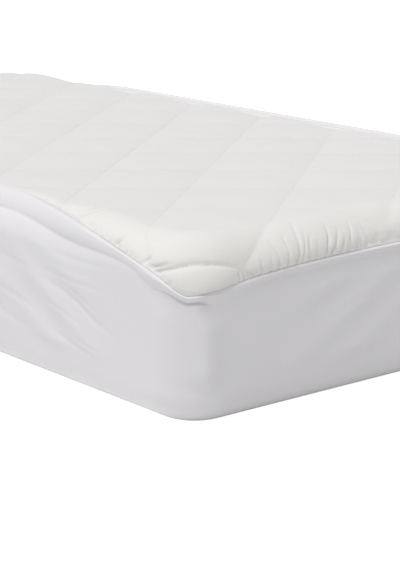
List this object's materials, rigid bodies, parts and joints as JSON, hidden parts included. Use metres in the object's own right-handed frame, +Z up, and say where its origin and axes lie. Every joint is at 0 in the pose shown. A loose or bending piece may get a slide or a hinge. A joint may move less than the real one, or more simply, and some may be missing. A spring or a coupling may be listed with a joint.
{
  "type": "waterproof mattress protector on a mattress",
  "caption": "Fitted waterproof mattress protector on a plain single mattress: quilted pad over the top, stretch knit skirt down the sides and tucked under.",
  "frame": {"origin": "middle of the underside, on the surface that the mattress lies on", "axes": "+X across the bed, +Y along the bed from foot to head, +Z up"},
  "size_m": [1.0076, 1.9234, 0.3036],
  "materials": {
    "pad_cloth": "warm white brushed microfibre, quilted over a thin polyester fill, matt",
    "skirt_knit": "cool white stretch knit with a waterproof backing, fine vertical ribs, soft low sheen",
    "ticking": "plain off-white mattress ticking, matt"
  },
  "bodies": {
    "root": {"mattress": "ticking", "quilted_pad": "pad_cloth", "skirt": "skirt_knit"}
  },
  "joints": []
}
